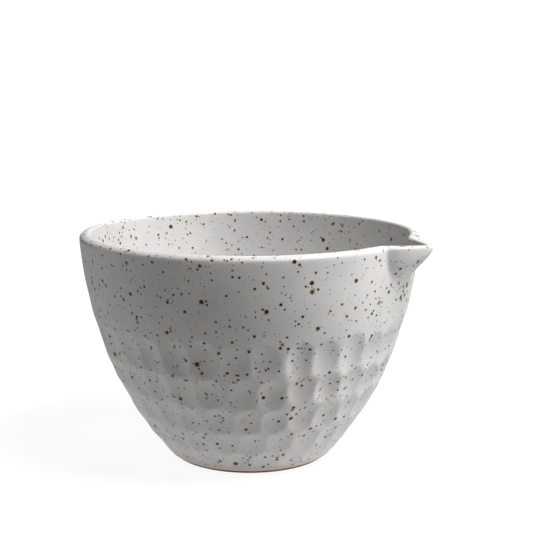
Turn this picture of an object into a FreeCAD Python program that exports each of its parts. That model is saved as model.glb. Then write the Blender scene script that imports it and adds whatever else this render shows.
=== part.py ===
import FreeCAD, Part
import os
import Sketcher

# Stoneware batter bowl: a thrown clay body, a luted-on pouring spout and the glaze coat over both.
# Frame: +Z up, origin at the centre of the foot on the resting plane, spout along +X.

# Driving dimensions in millimetres, angles in degrees.
SIZES = {
    # Outer wall of the bare clay: one cubic curve from the foot to the lip.
    "footRadius": 55.8,
    "footLean": 43.0,
    "footReach": 67.5,
    "lipRadius": 114.7,
    "lipHeight": 156.03,
    "lipRound": 4.67,
    "lipLean": 4.7,
    "shoulderReach": 43.1,
    # Inner wall and floor.
    "innerRound": 1.5,
    "innerReach": 51.9,
    "innerLean": 2.4,
    "cornerRadius": 55.9,
    "cornerHeight": 17.6,
    "cornerLean": 54.4,
    "cornerReach": 34.7,
    "floorHeight": 13.0,
    "floorFlat": 25.0,
    # Turned foot under the bowl.
    "footRingInner": 46.0,
    "recessRadius": 43.0,
    "recessHeight": 4.0,
    # Glaze coat.
    "glaze": 0.5,
    "glazeLine": 1.2,
    "glazeFootRadius": 50.0,
    "coreHeight": 8.0,
    # Thumb dimples pressed in five rows.
    "dimpleBulge": 20.0,
    "dimpleDepth": 1.4,
    "footDimpleDepth": 0.9,
    "wallBend": 236.0,
    # Spout: a pinched cone whose point is the pouring tip.
    "spoutRoot": 100.0,
    "tipReach": 137.2,
    "tipHalf": 1.2,
    "tipDepth": 3.5,
    "tipTop": 160.0,
    "spoutFlare": 1.34,
    "keelFall": 1.185,
    "topRise": 0.03,
    "spoutSetback": 6.5,
    "glazeSetback": 0.6,
    "clearHeight": 175.0,
}

# Each dimple row: name, height of its centre, wall radius and lean there, count, half width, half height
# and the driving dimension that holds its depth.
DIMPLE_ROWS = (
    ("rim", 90.0, 106.8, 17.3, 34, 10.3, 14.0, "dimpleDepth"),
    ("shoulder", 68.0, 98.9, 22.4, 32, 10.1, 12.0, "dimpleDepth"),
    ("belly", 46.6, 88.9, 27.9, 30, 9.7, 12.0, "dimpleDepth"),
    ("waist", 28.0, 77.9, 33.4, 27, 9.4, 11.5, "dimpleDepth"),
    ("foot", 13.0, 67.0, 38.4, 22, 9.6, 9.0, "footDimpleDepth"),
)


def make_sheet(doc):
    """Writes every driving dimension into the spreadsheet, one aliased cell each."""
    sheet = doc.addObject("Spreadsheet::Sheet", "Sizes")
    cells = dict(SIZES)
    for name, height, radius, lean, count, half_width, half_height, _ in DIMPLE_ROWS:
        cells[name + "RowHeight"] = height
        cells[name + "RowRadius"] = radius
        cells[name + "RowLean"] = lean
        cells[name + "RowCount"] = count
        cells[name + "HalfWidth"] = half_width
        cells[name + "HalfHeight"] = half_height
    for row, (alias, value) in enumerate(cells.items(), start=1):
        sheet.set(f"A{row}", alias)
        sheet.set(f"B{row}", str(value))
        sheet.setAlias(f"B{row}", alias)
    doc.recompute()
    return sheet


class Outline:
    """A sketch whose points are pinned to expressions of the sheet."""

    def __init__(self, body, name, plane_role):
        self.sheet = body.Document.Sizes
        self.sketch = body.newObject("Sketcher::SketchObject", name)
        planes = [item for item in body.Origin.OriginFeatures if item.Role == plane_role]
        self.sketch.AttachmentSupport = [(planes[0], "")]
        self.sketch.MapMode = "FlatFace"

    def value(self, expression):
        return float(self.sheet.evalExpression(expression))

    def at(self, point):
        return FreeCAD.Vector(self.value(point[0]), self.value(point[1]), 0)

    def pin(self, geometry, vertex, point):
        """Holds a vertex at a point of two expressions, measured from the sketch's origin."""
        for kind, expression in zip(("DistanceX", "DistanceY"), point):
            size = self.value(expression)
            if size < 0:
                ends = (geometry, vertex, -1, 1)
                expression = f"-({expression})"
            else:
                ends = (-1, 1, geometry, vertex)
            index = self.sketch.addConstraint(Sketcher.Constraint(kind, *ends, abs(size)))
            self.sketch.setExpression(f"Constraints[{index}]", expression)

    def line(self, start, end):
        edge = self.sketch.addGeometry(Part.LineSegment(self.at(start), self.at(end)), False)
        self.pin(edge, 1, start)
        self.pin(edge, 2, end)

    def path(self, points):
        for start, end in zip(points, points[1:]):
            self.line(start, end)

    def curve(self, poles):
        """A cubic curve with four control poles."""
        shape = Part.BSplineCurve()
        shape.buildFromPolesMultsKnots([self.at(pole) for pole in poles], (4, 4), (0.0, 1.0), False, 3)
        edge = self.sketch.addGeometry(shape, False)
        self.sketch.exposeInternalGeometry(edge)
        self.pin(edge, 1, poles[0])
        self.pin(edge + 2, 3, poles[1])
        self.pin(edge + 3, 3, poles[2])
        self.pin(edge, 2, poles[3])

    def arc(self, centre, start, end):
        """An arc that runs anticlockwise from start to end."""
        middle = self.at(centre)
        first = self.at(start) - middle
        last = self.at(end) - middle
        circle = Part.Circle(middle, FreeCAD.Vector(0, 0, 1), first.Length)
        span = Part.ArcOfCircle(circle, circle.parameter(middle + first), circle.parameter(middle + last))
        edge = self.sketch.addGeometry(span, False)
        self.pin(edge, 3, centre)
        self.pin(edge, 1, start)
        index = self.sketch.addConstraint(Sketcher.Constraint("DistanceX", -1, 1, edge, 2, self.at(end).x))
        self.sketch.setExpression(f"Constraints[{index}]", end[0])


def wall_points(grow):
    """Named points of the bowl's outline, as expressions, with its walls grown by a glaze coat."""
    round_out = f"(Sizes.lipRound + {grow})"
    round_in = f"(Sizes.innerRound + {grow})"
    points = {
        "foot": (f"Sizes.footRadius + {grow}", "0"),
        "lip_outer": (
            f"Sizes.lipRadius + {round_out} * cos(Sizes.lipLean)",
            f"Sizes.lipHeight - {round_out} * sin(Sizes.lipLean)",
        ),
        "lip_centre": ("Sizes.lipRadius", "Sizes.lipHeight"),
        "crest": ("Sizes.lipRadius", f"Sizes.lipHeight + {round_out}"),
        "inner_centre": ("Sizes.lipRadius", f"Sizes.lipHeight + {round_out} - {round_in}"),
        "inner_lip": (
            f"Sizes.lipRadius - {round_in} * cos(Sizes.innerLean)",
            f"Sizes.lipHeight + {round_out} - {round_in} + {round_in} * sin(Sizes.innerLean)",
        ),
        "floor": ("0", f"Sizes.floorHeight + {grow}"),
    }
    points["belly_pole"] = (
        f"{points['foot'][0]} + Sizes.footReach * sin(Sizes.footLean)",
        "Sizes.footReach * cos(Sizes.footLean)",
    )
    points["shoulder_pole"] = (
        f"{points['lip_outer'][0]} - Sizes.shoulderReach * sin(Sizes.lipLean)",
        f"{points['lip_outer'][1]} - Sizes.shoulderReach * cos(Sizes.lipLean)",
    )
    points["inner_pole"] = (
        f"{points['inner_lip'][0]} - Sizes.innerReach * sin(Sizes.innerLean)",
        f"{points['inner_lip'][1]} - Sizes.innerReach * cos(Sizes.innerLean)",
    )
    points["corner"] = ("Sizes.cornerRadius", f"Sizes.cornerHeight + {grow}")
    points["corner_pole"] = (
        "Sizes.cornerRadius + Sizes.cornerReach * sin(Sizes.cornerLean)",
        f"Sizes.cornerHeight + {grow} + Sizes.cornerReach * cos(Sizes.cornerLean)",
    )
    points["turn_pole"] = (
        "Sizes.cornerRadius - (Sizes.cornerHeight - Sizes.floorHeight) * tan(Sizes.cornerLean)",
        points["floor"][1],
    )
    points["floor_pole"] = ("Sizes.floorFlat", points["floor"][1])
    return points


def draw_outer_wall(outline, points):
    """The outer wall and the outer half of the lip, from the foot to the crest."""
    outline.curve((points["foot"], points["belly_pole"], points["shoulder_pole"], points["lip_outer"]))
    outline.arc(points["lip_centre"], points["lip_outer"], points["crest"])


def draw_inner_wall(outline, points):
    """The inner half of the lip, the inner wall and the floor, from the crest to the axis."""
    outline.arc(points["inner_centre"], points["crest"], points["inner_lip"])
    outline.curve((points["inner_lip"], points["inner_pole"], points["corner_pole"], points["corner"]))
    outline.curve((points["corner"], points["turn_pole"], points["floor_pole"], points["floor"]))


def revolve(body, outline):
    """Turns an outline once round the body's vertical axis."""
    turn = body.newObject("PartDesign::Revolution", body.Name + "Turn")
    turn.Profile = outline.sketch
    turn.ReferenceAxis = (outline.sketch, ["V_Axis"])
    turn.Angle = 360.0
    return turn


def semi_axis(half_size, bend):
    """Semi-axis of an ellipsoid that leaves a dimple of the given half size on a wall of that bend."""
    return f"sqrt(Sizes.dimpleBulge / (2 * Sizes.dimpleDepth / ({half_size})^2 - {bend}))"


def press_dimples(body, shrink):
    """Presses the rows of dimples into the wall, each row one ellipsoid repeated round the axis."""
    vertical = [item for item in body.Origin.OriginFeatures if item.Role == "Z_Axis"][0]
    for name, _, _, _, _, _, _, depth in DIMPLE_ROWS:
        row = f"Sizes.{name}Row"
        bulge = body.newObject("PartDesign::SubtractiveEllipsoid", f"{body.Name}{name.title()}Dimple")
        bulge.setExpression("Radius2", f"Sizes.dimpleBulge - {shrink}")
        width = semi_axis(f"Sizes.{name}HalfWidth", f"cos({row}Lean) / {row}Radius")
        height = semi_axis(f"Sizes.{name}HalfHeight", "1 / Sizes.wallBend")
        bulge.setExpression("Radius3", f"{width} - {shrink}")
        bulge.setExpression("Radius1", f"{height} - {shrink}")
        stand_off = f"(Sizes.dimpleBulge - Sizes.{depth})"
        bulge.Placement = FreeCAD.Placement(FreeCAD.Vector(), FreeCAD.Rotation(FreeCAD.Vector(0, 1, 0), 1))
        bulge.setExpression("Placement.Rotation.Angle", f"{row}Lean * 1 deg")
        bulge.setExpression("Placement.Base.x", f"{row}Radius + {stand_off} * cos({row}Lean)")
        bulge.setExpression("Placement.Base.z", f"{row}Height - {stand_off} * sin({row}Lean)")
        body.Document.recompute()
        ring = body.newObject("PartDesign::PolarPattern", f"{body.Name}{name.title()}Ring")
        ring.Originals = [bulge]
        ring.Axis = (vertical, [""])
        ring.Angle = 360.0
        ring.setExpression("Occurrences", f"{row}Count")
        body.Tip = ring
        body.Document.recompute()


def make_clay_form(doc):
    """The thrown and dimpled bowl before its wall is opened for the spout."""
    body = doc.addObject("PartDesign::Body", "ClayForm")
    outline = Outline(body, "ClayOutline", "XZ_Plane")
    points = wall_points("0")
    draw_outer_wall(outline, points)
    draw_inner_wall(outline, points)
    outline.path((
        points["floor"],
        ("0", "Sizes.recessHeight"),
        ("Sizes.recessRadius", "Sizes.recessHeight"),
        ("Sizes.footRingInner", "0"),
        points["foot"],
    ))
    revolve(body, outline)
    doc.recompute()
    press_dimples(body, "0")
    return body


def make_glazed_form(doc):
    """The same bowl grown by the glaze, stepped underneath so that the foot stays bare."""
    body = doc.addObject("PartDesign::Body", "GlazedForm")
    outline = Outline(body, "GlazedOutline", "XZ_Plane")
    points = wall_points("Sizes.glaze")
    points["foot"] = (f"{points['foot'][0]} + Sizes.glazeLine * tan(Sizes.footLean)", "Sizes.glazeLine")
    draw_outer_wall(outline, points)
    draw_inner_wall(outline, points)
    outline.path((
        points["floor"],
        ("0", "Sizes.coreHeight"),
        ("Sizes.glazeFootRadius", "Sizes.coreHeight"),
        ("Sizes.glazeFootRadius", "Sizes.glazeLine"),
        points["foot"],
    ))
    revolve(body, outline)
    doc.recompute()
    press_dimples(body, "Sizes.glaze")
    return body


def make_keep_out(doc):
    """The filled bowl with a tall plug over its crest, which trims what stands on the outer wall."""
    body = doc.addObject("PartDesign::Body", "KeepOut")
    outline = Outline(body, "KeepOutOutline", "XZ_Plane")
    points = wall_points("0")
    draw_outer_wall(outline, points)
    outline.path((
        points["crest"],
        ("Sizes.lipRadius", "Sizes.clearHeight"),
        ("0", "Sizes.clearHeight"),
        ("0", "0"),
        points["foot"],
    ))
    revolve(body, outline)
    return body


def draw_spout_section(body, name, reach, setback, top_trim, open_top):
    """One upright section of the pinched cone: a U with a flat top, or with tall sides if it cuts."""
    outline = Outline(body, name, "YZ_Plane")
    outline.sketch.setExpression("AttachmentOffset.Base.z", reach)
    behind = f"(Sizes.tipReach - {setback} - ({reach}))"
    half = f"(Sizes.tipHalf + {behind} * Sizes.spoutFlare)"
    depth = f"(Sizes.tipDepth + {behind} * Sizes.keelFall)"
    top = f"(Sizes.tipTop + {behind} * Sizes.topRise - {top_trim})"
    low = f"{top} - {depth} * 4 / 3"
    left = (f"-{half}", top)
    right = (half, top)
    outline.curve((left, (left[0], low), (right[0], low), right))
    if open_top:
        outline.path((right, (right[0], "Sizes.clearHeight"), (left[0], "Sizes.clearHeight"), left))
    else:
        outline.path((right, left))
    return outline.sketch


def make_spout_cone(doc, name, setback, top_trim, open_top=False):
    """A straight loft from a wide U inside the bowl to a small one at the pouring tip."""
    body = doc.addObject("PartDesign::Body", name)
    tip = f"Sizes.tipReach - {setback}"
    root_section = draw_spout_section(body, name + "Root", "Sizes.spoutRoot", setback, top_trim, open_top)
    tip_section = draw_spout_section(body, name + "Tip", tip, setback, top_trim, open_top)
    doc.recompute()
    cone = body.newObject("PartDesign::AdditiveLoft", name + "Loft")
    cone.Profile = root_section
    cone.Sections = [tip_section]
    cone.Ruled = True
    return body


def cut(doc, name, base, tool):
    """Base less tool, as a document object."""
    result = doc.addObject("Part::Cut", name)
    result.Base = base
    result.Tool = tool
    return result


def make_bowl(doc):
    """Builds the three pieces, each cut to lie face to face with its neighbours."""
    clay_form = make_clay_form(doc)
    glazed_form = make_glazed_form(doc)
    keep_out = make_keep_out(doc)
    clay_cone = make_spout_cone(doc, "ClayCone", "Sizes.glazeSetback", "Sizes.glaze")
    glazed_cone = make_spout_cone(doc, "GlazedCone", "0", "0")
    clay_setback = "(Sizes.spoutSetback - Sizes.glazeSetback)"
    clay_channel = make_spout_cone(doc, "ClayChannel", clay_setback, "0", open_top=True)
    glazed_channel = make_spout_cone(doc, "GlazedChannel", "Sizes.spoutSetback", "0", open_top=True)

    clay_body = cut(doc, "clay_body", clay_form, clay_channel)
    spout = cut(doc, "spout", cut(doc, "ClayBeak", clay_cone, keep_out), clay_channel)
    glazed_beak = cut(doc, "GlazedBeak", glazed_cone, keep_out)
    whole = doc.addObject("Part::Fuse", "GlazedWhole")
    whole.Base = glazed_form
    whole.Tool = glazed_beak
    opened = cut(doc, "GlazedOpen", whole, glazed_channel)
    glaze_coat = cut(doc, "glaze_coat", cut(doc, "CoatOverBody", opened, clay_body), spout)
    doc.recompute()
    return (clay_body, spout, glaze_coat)


def check(doc, pieces):
    """Stops if an object failed or a piece is not one sound solid."""
    for item in doc.Objects:
        if "Invalid" in item.State or "Error" in item.State:
            raise RuntimeError(f"{item.Label} failed: {item.State}")
    for piece in pieces:
        shape = piece.Shape
        if shape.isNull() or not shape.isValid():
            raise RuntimeError(f"{piece.Label} has no valid shape")
        print(piece.Label, "solids", len(shape.Solids), "volume cm3", round(shape.Volume / 1000, 2))


def main():
    doc = FreeCAD.newDocument("BatterBowl")
    make_sheet(doc)
    pieces = make_bowl(doc)
    check(doc, pieces)
    os.makedirs("parts", exist_ok=True)
    for piece in pieces:
        piece.Shape.exportStep(os.path.join("parts", piece.Label + ".step"))


main()
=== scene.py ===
import bpy
import numpy as np
from mathutils import Euler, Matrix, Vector


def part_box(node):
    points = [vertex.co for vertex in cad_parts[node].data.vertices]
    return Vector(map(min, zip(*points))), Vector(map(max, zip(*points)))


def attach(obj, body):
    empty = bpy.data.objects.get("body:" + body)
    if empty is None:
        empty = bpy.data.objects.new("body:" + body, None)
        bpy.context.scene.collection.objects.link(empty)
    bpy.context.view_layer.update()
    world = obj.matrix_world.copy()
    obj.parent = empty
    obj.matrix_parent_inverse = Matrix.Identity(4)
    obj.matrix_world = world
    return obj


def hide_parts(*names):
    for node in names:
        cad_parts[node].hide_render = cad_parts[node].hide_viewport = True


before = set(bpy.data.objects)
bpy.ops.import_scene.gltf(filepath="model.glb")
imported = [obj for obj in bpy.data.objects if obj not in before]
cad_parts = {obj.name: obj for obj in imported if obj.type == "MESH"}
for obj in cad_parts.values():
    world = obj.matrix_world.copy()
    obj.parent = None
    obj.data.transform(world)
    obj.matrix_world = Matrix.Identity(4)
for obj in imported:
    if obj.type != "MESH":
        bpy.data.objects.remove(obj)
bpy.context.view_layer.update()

mm = 0.001

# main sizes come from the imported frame, in millimetres
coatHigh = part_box("glaze_coat")[1]
bowlHeight = coatHigh.z / mm
rimRadius = coatHigh.y / mm
tipReach = coatHigh.x / mm

# all lengths are in millimetres and all bearings in degrees unless a note says otherwise
bowlWall = {
    "outerPoles": [(56.3, 0.0), (102.5, 49.3), (116.3, 112.6), (rimRadius, bowlHeight - 5.6)],
    "innerPoles": [(112.7, bowlHeight - 2.0), (110.5, bowlHeight - 53.9), (84.2, 37.8), (55.9, 18.1)],
    "floorPoles": [(55.9, 18.1), (49.5, 13.5), (25.0, 13.5), (0.0, 13.5)],
    "lipOuterDrop": 3.3,       # height over which the lip rounds over on the outside
    "lipInnerDrop": 2.0,       # and on the inside
    "crestShare": 0.27,        # where the crest stands in the lip's thickness, from the inside
    "crestSink": 0.45,         # the middle of the rim's wobble, below the highest point
    "rimWobble": 0.45,         # how far the hand-made rim rises and dips
    "rimWaves": [(2, 0.6, 0.5), (3, 2.1, 0.3)],    # waves round the rim: count, phase, share
    "lumps": 0.16,             # slow unevenness of the outer wall
    "lumpWaves": (3, 9, 60.0),         # its seed, most lobes round the bowl, and pitch upwards
    "throwing": 0.07,          # height of the faint throwing rings inside
    "throwStep": 0.9,          # radians of ring per mm of height
    "throwTop": 150.0,         # the rings fade out below this height
    "throwFade": 60.0,         # over this much height
    "glazeLine": 2.6,          # height of the glaze's lower edge
    "lineWander": 0.12,
    "lineWaves": (5, 26, 1.0),
    "coat": 0.5,               # thickness of the glaze
    "notchRadius": 107.5,      # where the channel's height is taken for the notch in the clay
    "notchDrop": 0.6,
}

spoutShape = {
    "topHeight": bowlHeight - 1.4,
    "topRise": 0.03,           # the pouring lip climbs this much per mm back towards the rim
    "tipSink": 1.2,            # how far the crest falls from the rim to the tip
    "fullness": 2.3,           # 2 is an ellipse, more is a fuller U
    "lipOuterDrop": 2.4,
    "lipSquareness": 3.2,
    "lipLevel": 2.0,           # depth below the top where the lip starts to follow the spout
    "lipStart": -0.5,          # reach past the rim where the lip begins to change to the spout's
    "lipEnd": 4.0,             # and where the change is complete
    "reachLow": 60.0,          # nearest to the axis that the spout is looked for
    "widest": 0.6,             # bearing, in radians, beyond which there is no spout
    "bulgeLength": 21.4,       # the thumbed side of the spout is fuller over this length
    "halvings": 34,
}
# point: reach of the nose; half and flare: half width behind it; depth, fall and nose: its depth;
# fillet: blend with the wall; bulge: extra half width on the side where the thumb pressed it out
outerCone = {
    "point": tipReach + 0.2, "half": 1.5, "flare": 1.276, "depth": 3.2, "fall": 1.03,
    "nose": 1.9, "noseLength": 2.5, "fillet": 1.0, "bulge": 3.6,
}
channelCone = {
    "point": tipReach - 4.2, "half": 1.0, "flare": 0.89, "depth": 1.9, "fall": 1.2,
    "nose": 0.0, "noseLength": 1.0, "fillet": 2.0, "bulge": 1.5,
}

dimpleRows = {
    # name: centre height, count, half width, half height, depth, bearing of one of them
    "rim": (90.5, 34, 10.4, 14.3, 2.0, -55.2),
    "shoulder": (68.0, 32, 10.3, 12.5, 1.9, -52.75),
    "belly": (46.6, 30, 10.0, 12.3, 1.8, -50.5),
    "waist": (28.0, 27, 9.8, 11.5, 1.5, -59.5),
    "foot": (13.0, 22, 9.8, 8.5, 1.0, -50.5),
}
dimplePress = {
    "seed": 11,
    "turnJitter": 1.3,
    "heightJitter": 1.7,
    "sizeJitter": 0.10,        # as a share of the size
    "depthJitter": 0.25,       # as a share of the depth
    "ridge": 0.14,             # softness of the ridges between dimples
    "deepest": 4.0,            # keeps the powers of far-off dimples in range
}

grid = {
    "columns": 460,
    "pressedRows": 94,         # rows over the dimples, up to pressedShare of the wall
    "plainRows": 7,            # rows over the plain wall, up to plainShare
    "spoutRows": 16,
    "pressedShare": 0.70,
    "plainShare": 0.83,
    "lipRows": 7,
    "innerLipRows": 4,
    "innerRows": 28,
    "innerSpread": 1.12,       # more than 1 gathers the inner rows near the lip
    "floorRows": 12,
    "spoutCrowd": (1.1, 18.0, 6),      # extra columns at the spout: amount, half width, sharpness
    "tipCrowd": (1.6, 2.4, 2),         # and at its tip
    "crowdSteps": 7201,
}


def cubic(poles, t):
    # point = the four poles weighted by (1-t)^3, 3(1-t)^2 t, 3(1-t) t^2 and t^3
    p = np.asarray(poles, float)
    weights = np.stack([(1 - t) ** 3, 3 * (1 - t) ** 2 * t, 3 * (1 - t) * t ** 2, t ** 3])
    return np.tensordot(p.T, weights, axes=1)


curveSteps = 800
outerCurve = cubic(bowlWall["outerPoles"], np.linspace(0, 1, curveSteps))
outerLean = np.arctan2(np.gradient(outerCurve[0]), np.gradient(outerCurve[1]))
innerCurve = cubic(bowlWall["innerPoles"], np.linspace(1, 0, curveSteps))


def wallRadius(z):
    # radius of the outer curve at height z, read off the curve sampled finely
    return np.interp(z, outerCurve[1], outerCurve[0])


def wallLean(z):
    # angle of the outer curve from the vertical at height z
    return np.interp(z, outerCurve[1], outerLean)


def innerRadius(z):
    # radius of the inner curve at height z
    return np.interp(z, innerCurve[1], innerCurve[0])


def smoothMax(a, b, size):
    # the larger of a and b, with size/4 added where they meet, fading out once they differ by size
    blend = np.maximum(size - np.abs(a - b), 0) / size
    return np.maximum(a, b) + blend ** 2 * size / 4


def smoothStep(value, low, high):
    # 0 below low, 1 above high, and 3 s^2 - 2 s^3 of the share s between
    share = np.clip((value - low) / (high - low), 0, 1)
    return share ** 2 * (3 - 2 * share)


def columnTurns(count):
    # bearings round the bowl in radians: even steps of a running sum whose density is
    # 1 + the sum of amount exp(-(turn / width)^power) at the spout and at its tip
    turn = np.linspace(-180, 180, grid["crowdSteps"])
    density = np.ones(turn.shape)
    for amount, width, power in (grid["spoutCrowd"], grid["tipCrowd"]):
        density += amount * np.exp(-(turn / width) ** power)
    total = np.concatenate([[0], np.cumsum((density[1:] + density[:-1]) / 2)])
    return np.radians(np.interp(np.arange(count) / count * total[-1], total, turn))


def coneSection(cone, behind):
    # half width flare * sqrt(b (b + 2a)), a round nose that opens to a straight flare, and depth
    # depth + fall b + nose (1 - exp(-b / noseLength)), at a distance b behind the point
    lead = cone["half"] / cone["flare"]
    half = cone["flare"] * np.sqrt(behind * (behind + 2 * lead))
    depth = cone["depth"] + cone["fall"] * behind
    return half, depth + cone["nose"] * (1 - np.exp(-behind / cone["noseLength"]))


def coneReach(turn, z, cone):
    # distance from the axis to the pinched cone along a bearing. Its section hangs from the top as
    # half a superellipse, so the edge is where x tan(turn) = W (1 - (drop / D)^n)^(1/n), halving
    # the interval until it is found
    s = spoutShape
    low = np.full(np.broadcast(turn, z).shape, s["reachLow"])
    high = np.full(low.shape, cone["point"])
    facing = np.clip(turn, -s["widest"], s["widest"])
    slope = np.abs(np.tan(facing))
    for _ in range(s["halvings"]):
        x = (low + high) / 2
        behind = cone["point"] - x
        half, depth = coneSection(cone, behind)
        drop = np.maximum(s["topHeight"] + behind * s["topRise"] - z, 0)
        share = np.clip(behind / s["bulgeLength"], 0, 1)
        half = half + cone["bulge"] * np.sin(np.pi * share) * (turn < 0)
        opening = np.maximum(1 - (drop / depth) ** s["fullness"], 0) ** (1 / s["fullness"])
        inside = (half * opening > x * slope) & (drop < depth)
        low = np.where(inside, x, low)
        high = np.where(inside, high, x)
    found = (np.abs(turn) < s["widest"]) & (low > s["reachLow"] + 0.01)
    return np.where(found, low / np.cos(facing), 0)


def channelHeight(turn, radius):
    # height of the channel's surface at a bearing and radius: top - D (1 - (|y| / W)^n)^(1/n), and
    # endlessly high beside the channel
    s = spoutShape
    behind = np.maximum(channelCone["point"] - radius * np.cos(turn), 0)
    half, depth = coneSection(channelCone, behind)
    share = np.clip(np.abs(radius * np.sin(turn)) / np.maximum(half, 0.01), 0, 1)
    inside = (np.abs(turn) < s["widest"]) & (share < 1)
    sunk = depth * (1 - share ** s["fullness"]) ** (1 / s["fullness"])
    return np.where(inside, s["topHeight"] + behind * s["topRise"] - sunk, np.inf)


def slowNoise(turn, z, seed, lobes, pitch, waves=8):
    # sum of waves round and up the wall with seeded bearings, each cos(n turn + m z + p) / sqrt(waves)
    rng = np.random.default_rng(seed)
    total = np.zeros(np.broadcast(turn, z).shape)
    for _ in range(waves):
        total += np.cos(rng.integers(1, lobes) * turn + rng.normal(0, 6.28 / pitch) * z
                        + rng.uniform(0, 6.28)) / waves ** 0.5
    return total


def dimpleDepth(turn, z):
    # each dimple is a bowl depth (1 - u^2 - v^2) of its own width and height; the field is their
    # smooth maximum, ridge * log(1 + sum of exp(bowl / ridge))
    press = dimplePress
    rng = np.random.default_rng(press["seed"])
    total = np.ones(np.broadcast(turn, z).shape)
    for height, count, halfWidth, halfHeight, depth, bearing in dimpleRows.values():
        for k in range(count):
            jitter = rng.uniform(-1, 1, 5)
            centreTurn = np.radians(bearing + 360 / count * k + press["turnJitter"] * jitter[0])
            centre = height + press["heightJitter"] * jitter[1]
            width = halfWidth * (1 + press["sizeJitter"] * jitter[2])
            tall = halfHeight * (1 + press["sizeJitter"] * jitter[3])
            deep = depth * (1 + press["depthJitter"] * jitter[4])
            across = np.mod(turn - centreTurn + np.pi, 2 * np.pi) - np.pi
            u = across * wallRadius(centre) / width
            v = (z - centre) / np.cos(wallLean(centre)) / tall
            bowl = np.clip(deep * (1 - u ** 2 - v ** 2), -press["deepest"], press["deepest"])
            total += np.exp(bowl / press["ridge"])
    return press["ridge"] * np.log(total)


def rimHeight(turn):
    # height of the crest: the even rim, a wobble that is a sum of share * sin(count turn + phase),
    # and the fall of the spout's top to its tip
    waves = bowlWall["rimWaves"]
    wobble = bowlWall["rimWobble"] * sum(share * np.sin(n * turn + phase) for n, phase, share in waves)
    reach = coneReach(turn, np.full(turn.shape, spoutShape["topHeight"]), outerCone)
    past = np.clip((reach - rimRadius) / (outerCone["point"] - rimRadius), 0, 1)
    return bowlHeight - bowlWall["crestSink"] + wobble * (1 - past) - past * spoutShape["tipSink"]


def outerRows(turn, top, withSpout):
    # rows up the outer wall, from the glaze line to the lip: the curve, pressed in along its normal
    # by the dimples and lumps, and joined to the spout's cone by the smooth maximum of the reaches
    w, g = bowlWall, grid
    pressed = np.linspace(0, g["pressedShare"], g["pressedRows"], endpoint=False)
    plain = np.linspace(g["pressedShare"], g["plainShare"], g["plainRows"], endpoint=False)
    upper = np.linspace(g["plainShare"], 1, g["spoutRows"])
    share = np.concatenate([pressed, plain, upper])[:, None]
    line = w["glazeLine"] + w["lineWander"] * slowNoise(turn, np.zeros(turn.shape), *w["lineWaves"])
    z = line + (top - line) * share
    lumps = w["lumps"] * slowNoise(turn, z, *w["lumpWaves"]) * np.sin(share * np.pi)
    press = dimpleDepth(turn, z) + lumps
    radius = wallRadius(z) - press * np.cos(wallLean(z))
    height = z + press * np.sin(wallLean(z))
    if withSpout:
        radius = smoothMax(radius, coneReach(turn, z, outerCone), outerCone["fillet"])
    return radius, height


def innerRowsDown(turn, top, withSpout):
    # rows down the inner wall to the floor's corner: the curve with throwing rings A sin(k z + turn)
    # that fade towards the lip, joined to the channel's cone
    w, g = bowlWall, grid
    low = w["innerPoles"][-1][1]
    share = np.linspace(0, 1, g["innerRows"])[:, None] ** g["innerSpread"]
    z = top + (low - top) * share
    fade = np.clip((w["throwTop"] - z) / w["throwFade"], 0, 1)
    radius = innerRadius(z) + w["throwing"] * np.sin(z * w["throwStep"] + turn) * fade
    if withSpout:
        radius = smoothMax(radius, coneReach(turn, z, channelCone), channelCone["fillet"])
    return radius, z


def quarterTurn(fromR, toR, fromZ, toZ, angle, power):
    # quarter of a superellipse: fromR + (toR - fromR) cos^p and fromZ + (toZ - fromZ) sin^p
    radius = fromR + (toR - fromR) * np.cos(angle) ** power
    return radius, fromZ + (toZ - fromZ) * np.sin(angle) ** power


def skinGrid(withSpout):
    # a skin of the bowl as rows (glaze line, up the wall, over the lip, down to the floor's middle)
    # by columns round the axis: x = r cos(turn), y = r sin(turn). Without the spout the wall is
    # notched down to the channel
    w, s, g = bowlWall, spoutShape, grid
    turn = columnTurns(g["columns"])[None, :]
    crest = rimHeight(turn)
    past = np.zeros(turn.shape)
    if withSpout:
        nearTop = np.full(turn.shape, s["topHeight"] - s["lipLevel"])
        past = smoothStep(coneReach(turn, nearTop, outerCone), rimRadius + s["lipStart"],
                          rimRadius + s["lipEnd"])
    else:
        crest = np.minimum(crest, channelHeight(turn, w["notchRadius"]) - w["notchDrop"])
    outerTop = crest - w["lipOuterDrop"] - (s["lipOuterDrop"] - w["lipOuterDrop"]) * past
    innerTop = crest - w["lipInnerDrop"]

    outerR, outerZ = outerRows(turn, outerTop, withSpout)
    sideR, sideZ = innerRowsDown(turn, innerTop, withSpout)
    floor = cubic(w["floorPoles"], np.linspace(0, 1, g["floorRows"] + 2)[1:-1])[:, :, None]

    lipOut = outerR[-1:]
    lipIn = sideR[:1]
    crestR = lipIn + (lipOut - lipIn) * w["crestShare"]
    power = 2 / (2 + (s["lipSquareness"] - 2) * past)
    rising = np.radians(np.linspace(0, 90, g["lipRows"] + 1))[1:, None]
    falling = np.radians(np.linspace(90, 0, g["innerLipRows"] + 1))[1:-1, None]
    overR, overZ = quarterTurn(crestR, lipOut, outerTop, crest, rising, power)
    downR, downZ = quarterTurn(crestR, lipIn, innerTop, crest, falling, 1)
    r = np.concatenate([outerR, overR, downR, sideR, floor[0] + 0 * turn])
    z = np.concatenate([outerZ, overZ, downZ, sideZ, floor[1] + 0 * turn])
    pole = np.array([0.0, 0.0, w["floorPoles"][-1][1]])
    return np.stack([r * np.cos(turn), r * np.sin(turn), z], axis=-1), pole


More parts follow.
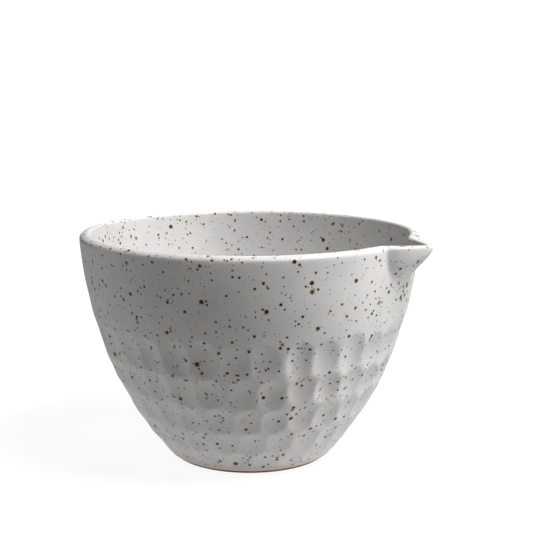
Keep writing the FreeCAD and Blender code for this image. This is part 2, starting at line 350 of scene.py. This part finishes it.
def gridNormals(points):
    # outward normal = step round the bowl crossed with step up the profile, made unit length
    around = np.roll(points, -1, axis=1) - np.roll(points, 1, axis=1)
    along = np.gradient(points, axis=0)
    normal = np.cross(around, along)
    return normal / np.maximum(np.linalg.norm(normal, axis=-1, keepdims=True), 1e-9)


def makeMesh(name, points, faces, material):
    # an object at the origin whose mesh holds its place; points in millimetres, faces as lists
    mesh = bpy.data.meshes.new(name)
    mesh.from_pydata((np.asarray(points) * mm).tolist(), [], faces)
    mesh.polygons.foreach_set("use_smooth", np.ones(len(mesh.polygons), bool))
    mesh.materials.append(material)
    mesh.validate()
    mesh.update()
    piece = bpy.data.objects.new(name, mesh)
    bpy.context.scene.collection.objects.link(piece)
    return piece


def gridFaces(rows, columns, first=0, inward=False):
    # quads between neighbouring rows, closed round the last column
    index = first + np.arange(rows * columns).reshape(rows, columns)
    right = np.roll(index, -1, axis=1)
    quads = np.stack([index[:-1], right[:-1], right[1:], index[1:]], axis=-1).reshape(-1, 4)
    return (quads[:, ::-1] if inward else quads).tolist()


def poleFaces(ring, pole, inward=False):
    # a fan of triangles from a ring of vertex numbers to one pole vertex
    nextOne = np.roll(ring, -1)
    fan = np.stack([ring, nextOne, np.full(ring.shape, pole)], axis=-1)
    return (fan[:, ::-1] if inward else fan).tolist()


def seamFaces(fine, coarse):
    # closes a ring of 2n vertices against a ring of n: three triangles for each coarse step
    a, b, c = fine[0::2], fine[1::2], np.roll(fine, -2)[0::2]
    p, q = coarse, np.roll(coarse, -1)
    triangles = [np.stack(corners, -1) for corners in ((b, a, p), (c, b, q), (b, p, q))]
    return np.concatenate(triangles).tolist()


def buildGlazeCoat(material):
    # closed shell: the fine front skin and, one coat behind it, a back of half as many rows and
    # columns: back = front - normal * coat
    front, pole = skinGrid(True)
    rows, columns = front.shape[:2]
    back = (front - gridNormals(front) * bowlWall["coat"])[::2, ::2]
    backRows, backColumns = back.shape[:2]
    backPole = pole - [0, 0, bowlWall["coat"]]
    points = np.concatenate([front.reshape(-1, 3), pole[None], back.reshape(-1, 3), backPole[None]])
    frontPole = rows * columns
    backFirst = frontPole + 1
    backLast = backFirst + backRows * backColumns
    faces = gridFaces(rows, columns)
    faces += poleFaces(np.arange(frontPole - columns, frontPole), frontPole)
    faces += gridFaces(backRows, backColumns, backFirst, inward=True)
    faces += poleFaces(np.arange(backLast - backColumns, backLast), backLast, inward=True)
    faces += seamFaces(np.arange(columns), backFirst + np.arange(backColumns))
    piece = makeMesh("glazeCoat", points, faces, material)
    print("glaze coat", rows, "rows", columns, "columns", len(faces), "faces")
    return piece


class Sock:
    # wraps a node socket, so that values add Math nodes and vectors add Vector Math nodes
    def __init__(self, shader, socket):
        self.shader = shader
        self.socket = socket

    def math(self, operation, *others, clamp=False):
        settings = {"operation": operation, "use_clamp": clamp}
        return self.shader.node("Math", settings, dict(enumerate((self, *others))))

    def vector(self, operation, *others, output=0):
        settings = {"operation": operation}
        return self.shader.node("VectorMath", settings, dict(enumerate((self, *others))), output)

    def output(self, name):
        # another output of the same node
        return Sock(self.shader, self.socket.node.outputs[name])

    def parts(self):
        # every output of a Separate node
        return [Sock(self.shader, out) for out in self.socket.node.outputs]

    def clamp(self):
        return self.math("ADD", 0, clamp=True)

    def scale(self, number):
        return self.vector("SCALE", None, None, number)

    def __add__(self, other):
        return self.math("ADD", other)

    def __sub__(self, other):
        return self.math("SUBTRACT", other)

    def __rsub__(self, other):
        return self.shader.node("Math", {"operation": "SUBTRACT"}, {0: other, 1: self})

    def __mul__(self, other):
        return self.math("MULTIPLY", other)

    def __truediv__(self, other):
        return self.math("DIVIDE", other)

    def __pow__(self, other):
        return self.math("POWER", other)

    __radd__ = __add__
    __rmul__ = __mul__


class Shader:
    # one material's node tree, with a single method that adds any node
    def __init__(self, name):
        self.material = bpy.data.materials.new(name)
        self.material.use_nodes = True
        self.tree = self.material.node_tree
        self.tree.nodes.clear()

    def node(self, kind, settings=None, values=None, output=0):
        # settings go first, then the values or links of the sockets, by name or by number
        added = self.tree.nodes.new("ShaderNode" + kind)
        for key, value in (settings or {}).items():
            setattr(added, key, value)
        for key, value in (values or {}).items():
            if isinstance(value, Sock):
                self.tree.links.new(value.socket, added.inputs[key])
            elif value is not None:
                added.inputs[key].default_value = value
        return Sock(self, added.outputs[output])

    def place(self):
        return self.node("TexCoord", output="Object")

    def noise(self, place, scale, detail, output=0):
        return self.node("TexNoise", None, {"Vector": place, "Scale": scale, "Detail": detail}, output)

    def mix(self, factor, a, b):
        # colours are sockets or three numbers
        a, b = [item if isinstance(item, Sock) else (*item, 1) for item in (a, b)]
        return self.node("Mix", {"data_type": "RGBA"}, {0: factor, 6: a, 7: b}, 2)

    def step(self, value, low, high):
        # 0 below low, 1 above high, smooth between; high may be the lower one
        settings = {"interpolation_type": "SMOOTHSTEP"}
        return self.node("MapRange", settings, {0: value, 1: low, 2: high, 3: 0.0, 4: 1.0})

    def finish(self, surface):
        output = self.tree.nodes.new("ShaderNodeOutputMaterial")
        self.tree.links.new(surface.socket, output.inputs[0])
        return self.material


glazeLook = {
    "white": (0.62, 0.61, 0.59),
    "cool": (0.565, 0.56, 0.555),
    "warm": (0.60, 0.57, 0.53),
    "thin": (0.42, 0.35, 0.33),        # over the clay near the foot, where the coat is thin
    "core": (0.014, 0.009, 0.003),
    "olive": (0.032, 0.022, 0.004),
    "rust": (0.16, 0.088, 0.017),
    "halo": (0.25, 0.16, 0.045),
    "roughness": 0.42,
    # iron specks: cell size, largest radius, share of cells that hold one, strength
    "specks": [
        (8.6, 1.65, 0.60, 1.0),
        (5.2, 1.15, 0.72, 1.0),
        (3.8, 0.85, 0.66, 0.85),
        (2.7, 0.5, 0.6, 0.6),
    ],
    "layerShift": (0.37, 0.21, 0.11),  # in metres, keeps the layers' cells apart
    "speckLean": 1.5,                  # more than 1 makes most specks small
    "smallest": 0.45,                  # smallest speck as a share of the largest
    "coreEdges": (1.08, 0.80),         # distances, in speck radii, where a speck fades out and is full
    "haloEdges": (1.42, 0.95),
    "haloShare": 0.75,
    "oliveTints": (0.45, 0.75),        # random tints over which the cores turn from dark to olive
    "rustTints": (0.85, 0.9),
    "tintFade": 0.12,
    "raggedScale": 1100.0,             # noise that makes the specks' edges ragged
    "raggedReach": 0.9,
    "cloudScale": 24.0,                # slow drift between cool and white
    "cloudEdges": (0.36, 0.64),
    "fineScale": 420.0,                # fine warm mottling
    "fineEdges": (0.45, 0.75),
    "fineShare": 0.3,
    "thinEdges": (11.0, 3.0),          # heights over which the coat thins, and how far they wander
    "thinWander": 10.0,
    "thinShare": 0.7,
    "grainScale": 1500.0,
    "peelScale": 230.0,
    "relief": (0.6, 0.25, 0.3),        # height of the orange peel, the grain and the specks' dip
    "bumpStrength": 0.3,
    "bumpDepth": 0.3,
    "mottleRough": 0.1,
    "speckGloss": 0.12,
    "speckMetal": 0.75,
}


def speckLayer(sh, place, cell, radius, share, number):
    # specks at the random points of a cell pattern: distance from the middle as a share of the
    # speck's own radius, whether the cell holds one, and a random tint
    look = glazeLook
    shift = tuple(step * number for step in look["layerShift"])
    pattern = sh.node("TexVoronoi", None, {"Vector": place.vector("ADD", shift), "Scale": 1 / (cell * mm)})
    holds, big, tint = sh.node("SeparateColor", None, {0: pattern.output("Color")}).parts()
    size = (big ** look["speckLean"] * (1 - look["smallest"]) + look["smallest"]) * radius
    return pattern * cell / size, holds.math("LESS_THAN", share), tint


def glazeMaterial():
    look = glazeLook
    sh = Shader("speckledGlaze")
    place = sh.place()
    height = sh.node("SeparateXYZ", None, {0: place}).parts()[2] / mm
    ragged = sh.noise(place, look["raggedScale"], 1.0, "Color").vector("SUBTRACT", (0.5, 0.5, 0.5))
    warped = place.vector("ADD", ragged.scale(look["raggedReach"] * mm))

    cloud = sh.noise(place, look["cloudScale"], 4.0)
    fine = sh.noise(place, look["fineScale"], 3.0)
    base = sh.mix(sh.step(cloud, *look["cloudEdges"]), look["cool"], look["white"])
    base = sh.mix(sh.step(fine, *look["fineEdges"]) * look["fineShare"], base, look["warm"])
    thin = sh.step(height + (cloud - 0.5) * look["thinWander"], *look["thinEdges"])
    base = sh.mix(thin * look["thinShare"], base, look["thin"])

    dip = 0
    for number, (cell, radius, share, strength) in enumerate(look["specks"]):
        away, present, tint = speckLayer(sh, warped, cell, radius, share, number)
        halo = sh.step(away, *look["haloEdges"]) * present
        fade = tint * look["tintFade"] + (1 - look["tintFade"])
        core = sh.step(away, *look["coreEdges"]) * present * fade * strength
        colour = sh.mix(sh.step(tint, *look["oliveTints"]), look["core"], look["olive"])
        colour = sh.mix(sh.step(tint, *look["rustTints"]), colour, look["rust"])
        base = sh.mix(halo * (look["haloShare"] * strength), base, look["halo"])
        base = sh.mix(core, base, colour)
        dip = core * strength + dip

    grain = sh.noise(place, look["grainScale"], 2.0)
    peel = sh.noise(place, look["peelScale"], 2.0)
    peelHeight, grainHeight, dipHeight = look["relief"]
    relief = peel * peelHeight + grain * grainHeight - dip * dipHeight
    bump = sh.node("Bump", None, {"Strength": look["bumpStrength"], "Distance": look["bumpDepth"] * mm,
                                  "Height": relief})
    rough = fine * look["mottleRough"] + look["roughness"] - dip.clamp() * look["speckGloss"]
    metal = dip.clamp() * look["speckMetal"]
    return sh.finish(sh.node("BsdfPrincipled", None, {
        "Base Color": base, "Roughness": rough, "Metallic": metal, "Normal": bump, "IOR": 1.5}))


clayLook = {
    "toast": (0.115, 0.05, 0.010),
    "pale": (0.19, 0.09, 0.024),
    "dark": (0.025, 0.014, 0.005),
    "cloudScale": 60.0,
    "cloudEdges": (0.35, 0.65),
    "gritScale": 1500.0,
    "gritEdges": (0.62, 0.72),
    "gritShare": 0.8,
    "gritRough": 0.15,
    "roughness": 0.75,
    "bumpStrength": 0.5,
    "bumpDepth": 0.4,
}


def clayMaterial():
    look = clayLook
    sh = Shader("toastedClay")
    place = sh.place()
    cloud = sh.noise(place, look["cloudScale"], 4.0)
    grit = sh.noise(place, look["gritScale"], 2.0)
    base = sh.mix(sh.step(cloud, *look["cloudEdges"]), look["toast"], look["pale"])
    base = sh.mix(sh.step(grit, *look["gritEdges"]) * look["gritShare"], base, look["dark"])
    bump = sh.node("Bump", None, {"Strength": look["bumpStrength"], "Distance": look["bumpDepth"] * mm,
                                  "Height": grit})
    rough = grit * look["gritRough"] + look["roughness"]
    return sh.finish(sh.node("BsdfPrincipled", None, {
        "Base Color": base, "Roughness": rough, "Normal": bump}))


clayShape = {
    "inset": 0.52,             # how far the clay lies behind the glaze's surface
    "footRadius": 55.85,
    "footRound": 0.9,          # rounding of the foot's outer edge
    "ringInner": 46.0,
    "ringRows": (46.6, 50.0),  # radii of the rows on the flat standing ring
    "recessRadius": 42.5,
    "recessHeight": 4.0,
    # from the recess to the ring: share of the way out, share of the height left
    "recessWall": ((0.35, 0.75), (0.75, 0.22), (0.92, 0.05)),
    "poleRadius": 3.0,         # radius of the innermost row, closed with a fan
    "trimRings": 0.12,         # grooves left by the trimming tool under the foot
    "trimPitch": 4.8,
    "trimRows": 34,
    "edgeRows": 6,
    "edgeTurn": 80.0,
}


def footProfile():
    # underside from near the axis outwards: the recess with its trimming grooves, height
    # recess + A sin(2 pi r / pitch), then the standing ring and its rounded outer edge
    c = clayShape
    r = np.linspace(c["poleRadius"], c["recessRadius"], c["trimRows"])
    z = c["recessHeight"] + c["trimRings"] * np.sin(2 * np.pi * r / c["trimPitch"])
    out, left = np.array(c["recessWall"]).T
    wallR = c["recessRadius"] + (c["ringInner"] - c["recessRadius"]) * out
    ringR = np.array(c["ringRows"])
    angle = np.radians(np.linspace(0, c["edgeTurn"], c["edgeRows"]))
    edgeR = c["footRadius"] - c["footRound"] * (1 - np.sin(angle))
    edgeZ = c["footRound"] * (1 - np.cos(angle))
    radius = np.concatenate([r, wallR, ringR, edgeR])
    return radius, np.concatenate([z, c["recessHeight"] * left, 0 * ringR, edgeZ])


def buildClayBody(material):
    # closed shell just behind the glaze, skin - normal * inset, carried on below its line to the
    # foot ring and the recess
    front, pole = skinGrid(False)
    inside = (front - gridNormals(front) * clayShape["inset"])[::2, ::2]
    turn = columnTurns(grid["columns"])[::2][None, :]
    footR, footZ = [part[:, None] + 0 * turn for part in footProfile()]
    foot = np.stack([footR * np.cos(turn), footR * np.sin(turn), footZ], axis=-1)
    body = np.concatenate([foot, inside])
    rows, columns = body.shape[:2]
    poles = [pole - [0, 0, clayShape["inset"]], [0, 0, clayShape["recessHeight"]]]
    points = np.concatenate([body.reshape(-1, 3), poles])
    total = rows * columns
    faces = gridFaces(rows, columns)
    faces += poleFaces(np.arange(total - columns, total), total)
    faces += poleFaces(np.arange(columns), total + 1, inward=True)
    piece = makeMesh("clayBody", points, faces, material)
    print("clay body", rows, "rows", columns, "columns")
    return piece


spoutClay = {
    "inset": 0.9,              # how far the clay lies inside the cone's surface
    "topInset": 2.0,
    "rootGap": 0.2,            # between its root and the wall
    "thinnest": 0.2,           # least half width and depth at the nose
    "around": 33,
    "along": 18,
    "spread": 1.3,             # more than 1 gathers the rows near the nose
    "longest": 60.0,           # furthest behind the nose that the wall is looked for
    "halvings": 30,
}


def coneSheet(cone, inward, root):
    # straight lines of the cone: for each angle round the U the point at a distance b behind the
    # nose is (point - b, W cos, top - D sin) with superellipse powers; b runs to where it meets the
    # wall, x^2 + y^2 = R(z)^2, found by halving
    s, k = spoutShape, spoutClay
    angle = np.linspace(0, np.pi, k["around"])[:, None]
    power = 2 / s["fullness"]
    across = np.sign(np.cos(angle)) * np.abs(np.cos(angle)) ** power
    down = np.abs(np.sin(angle)) ** power
    top = s["topHeight"] - k["topInset"]

    def place(behind):
        half, depth = coneSection(cone, behind)
        y = across * np.maximum(half - inward, k["thinnest"])
        z = top - down * np.maximum(depth - inward - k["topInset"], k["thinnest"])
        return cone["point"] - inward - behind, y, z

    low, high = np.zeros(angle.shape), np.full(angle.shape, k["longest"])
    for _ in range(k["halvings"]):
        middle = (low + high) / 2
        x, y, z = place(middle)
        outside = np.hypot(x, y) > wallRadius(z) + root
        low, high = np.where(outside, middle, low), np.where(outside, high, middle)
    share = np.linspace(0, 1, k["along"])[None, :] ** k["spread"]
    return np.stack(place(low * share), axis=-1)


def buildSpoutClay(material):
    # closed block between the outer cone and the channel: outer lines run nose to root, channel
    # lines root to nose, so each angle gives one closed ring, and the two top faces cap the grid
    k = spoutClay
    outer = coneSheet(outerCone, k["inset"], k["rootGap"])
    channel = coneSheet(channelCone, -k["inset"], k["rootGap"])[:, ::-1]
    ring = np.concatenate([outer, channel], axis=1)
    rows, columns = ring.shape[:2]
    faces = gridFaces(rows, columns, inward=True)
    first = np.arange(columns // 2 - 1)
    cap = np.stack([first, first + 1, columns - 2 - first, columns - 1 - first], axis=-1)
    faces += cap.tolist()
    faces += (cap + (rows - 1) * columns)[:, ::-1].tolist()
    piece = makeMesh("spoutClay", ring.reshape(-1, 3), faces, material)
    print("spout clay", rows, "by", columns)
    return piece


# the studio is in metres, apart from the two gaps in millimetres
studio = {
    "floorHalf": 7.0,
    "floorGap": 0.1,           # keeps the floor clear of the foot ring's flat face
    "floorGrey": 0.13,
    "floorGlow": 0.92,         # glow of the floor near the bowl, so that the shadow stays faint
    "farGlow": 1.05,           # and further off, where the floor runs into the backdrop
    "floorEdges": (0.25, 0.9),         # distances where the glow starts and ends its change
    "bounceGap": 1.0,
    "bounceNear": 0.64,        # light thrown up from the white table beside the bowl
    "bounceFar": 0.37,         # and from the table further off
    "bounceEdges": (0.10, 0.30),
    "domeRadius": 6.5,
    "domeGlow": 1.05,
    "domeEdges": (1.0, 2.0),
    "domeLow": -3.0,           # the dome starts this many degrees below the floor
    "domeRows": 14,
    "domeColumns": 48,
    "lampAway": 1.7,
    "aimHeight": 0.08,
}
camera = {
    "turn": 28.5, "right": 0.01174, "back": 0.7957, "height": 0.2693, "pitch": 9.62,
    "lens": 76.26, "sensor": 36.0, "clipEnd": 60.0,
}
# softboxes: bearing from the camera's right, height angle, side length in metres, watts
lamps = {
    "keyHigh": (-38, 59, 0.5, 30.0),
    "keyRight": (-2, 20, 0.4, 9.5),
    "backRight": (72, 45, 0.8, 8.0),
    "overhead": (10, 60, 0.5, 9.0),
    "tableRight": (0, -25, 0.8, 10.0),     # the lit table to the right of the bowl
    "tableLeft": (180, -25, 0.8, 1.5),
    "leftEdge": (170, 8, 0.8, 4.0),
}


def turned(x, y, z):
    # from the camera's own left-right and near-far to the frame's axes: a turn about Z
    a = np.radians(camera["turn"])
    return (x * np.cos(a) - y * np.sin(a), x * np.sin(a) + y * np.cos(a), z)


def stageMaterial(name, glow, farGlow, edges, grey):
    # a plain white surface that also glows: glow near the middle, farGlow past the second edge
    sh = Shader(name)
    away = sh.place().vector("LENGTH", output=1)
    colour = sh.mix(sh.step(away, *edges), (glow,) * 3, (farGlow,) * 3)
    return sh.finish(sh.node("BsdfPrincipled", None, {
        "Base Color": (grey, grey, grey, 1), "Roughness": 1.0, "Specular IOR Level": 0.0,
        "Emission Color": colour, "Emission Strength": 1.0}))


def cameraOnly(piece):
    # seen by the camera, so that the white stage doesn't light the bowl
    piece.visible_diffuse = False
    piece.visible_glossy = False
    piece.visible_transmission = False
    piece.visible_shadow = False


def buildStage():
    # floor and bounce card: squares of side 2 floorHalf; dome: half a sphere, radius
    # (cos lift cos turn, cos lift sin turn, sin lift)
    t = studio
    half = t["floorHalf"] / mm
    corners = np.array([(-half, -half, 0), (half, -half, 0), (half, half, 0), (-half, half, 0)])
    look = stageMaterial("paleFloor", t["floorGlow"], t["farGlow"], t["floorEdges"], t["floorGrey"])
    floor = makeMesh("studioFloor", corners - [0, 0, t["floorGap"]], [(0, 1, 2, 3)], look)
    cameraOnly(floor)

    look = stageMaterial("bounceGlow", t["bounceNear"], t["bounceFar"], t["bounceEdges"], 0.0)
    bounce = makeMesh("bounceCard", corners - [0, 0, t["bounceGap"]], [(0, 1, 2, 3)], look)
    bounce.visible_camera = False
    bounce.visible_shadow = False

    turn = np.linspace(0, 2 * np.pi, t["domeColumns"], endpoint=False)[None, :]
    lift = np.radians(np.linspace(t["domeLow"], 90, t["domeRows"]))[:-1, None]
    ring = np.stack([np.cos(lift) * np.cos(turn), np.cos(lift) * np.sin(turn), np.sin(lift) + 0 * turn], -1)
    points = np.concatenate([ring.reshape(-1, 3), [[0, 0, 1]]]) * (t["domeRadius"] / mm)
    rows, columns = ring.shape[:2]
    last = np.arange((rows - 1) * columns, rows * columns)
    faces = gridFaces(rows, columns, inward=True) + poleFaces(last, rows * columns, inward=True)
    look = stageMaterial("paleDome", t["domeGlow"], t["domeGlow"], t["domeEdges"], 0.0)
    dome = makeMesh("studioDome", points, faces, look)
    cameraOnly(dome)
    print("stage: floor, bounce card and dome")


def areaLight(name, bearing, lift, size, power):
    # a square softbox on a sphere round the bowl, facing its middle
    data = bpy.data.lights.new(name, "AREA")
    data.shape = "SQUARE"
    data.size = size
    data.energy = power
    a, e = np.radians(bearing), np.radians(lift)
    away = studio["lampAway"]
    place = Vector(turned(away * np.cos(e) * np.cos(a), away * np.cos(e) * np.sin(a),
                          studio["aimHeight"] + away * np.sin(e)))
    lamp = bpy.data.objects.new(name, data)
    lamp.location = place
    aim = Vector((0, 0, studio["aimHeight"])) - place
    lamp.rotation_euler = aim.to_track_quat("-Z", "Y").to_euler()
    lamp.visible_camera = False
    bpy.context.scene.collection.objects.link(lamp)


def buildCamera():
    data = bpy.data.cameras.new("view")
    data.lens = camera["lens"]
    data.sensor_width = camera["sensor"]
    data.clip_end = camera["clipEnd"]
    piece = bpy.data.objects.new("view", data)
    piece.location = turned(camera["right"], -camera["back"], camera["height"])
    piece.rotation_euler = Euler((np.radians(90 - camera["pitch"]), 0, np.radians(camera["turn"])))
    bpy.context.scene.collection.objects.link(piece)
    bpy.context.scene.camera = piece


def buildLights():
    for name, (bearing, lift, size, power) in lamps.items():
        areaLight(name, bearing, lift, size, power)
    world = bpy.data.worlds.new("studio")
    bpy.context.scene.world = world
    world.use_nodes = True
    world.node_tree.nodes["Background"].inputs["Strength"].default_value = 0.0
    bpy.context.scene.view_settings.view_transform = "Standard"
    print("lights", len(lamps))


glaze = glazeMaterial()
clay = clayMaterial()
buildCamera()
buildLights()
buildStage()

glazePiece = buildGlazeCoat(glaze)
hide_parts("glaze_coat")
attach(glazePiece, "root")

clayPiece = buildClayBody(clay)
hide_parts("clay_body")
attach(clayPiece, "root")

spoutPiece = buildSpoutClay(clay)
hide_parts("spout")
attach(spoutPiece, "root")
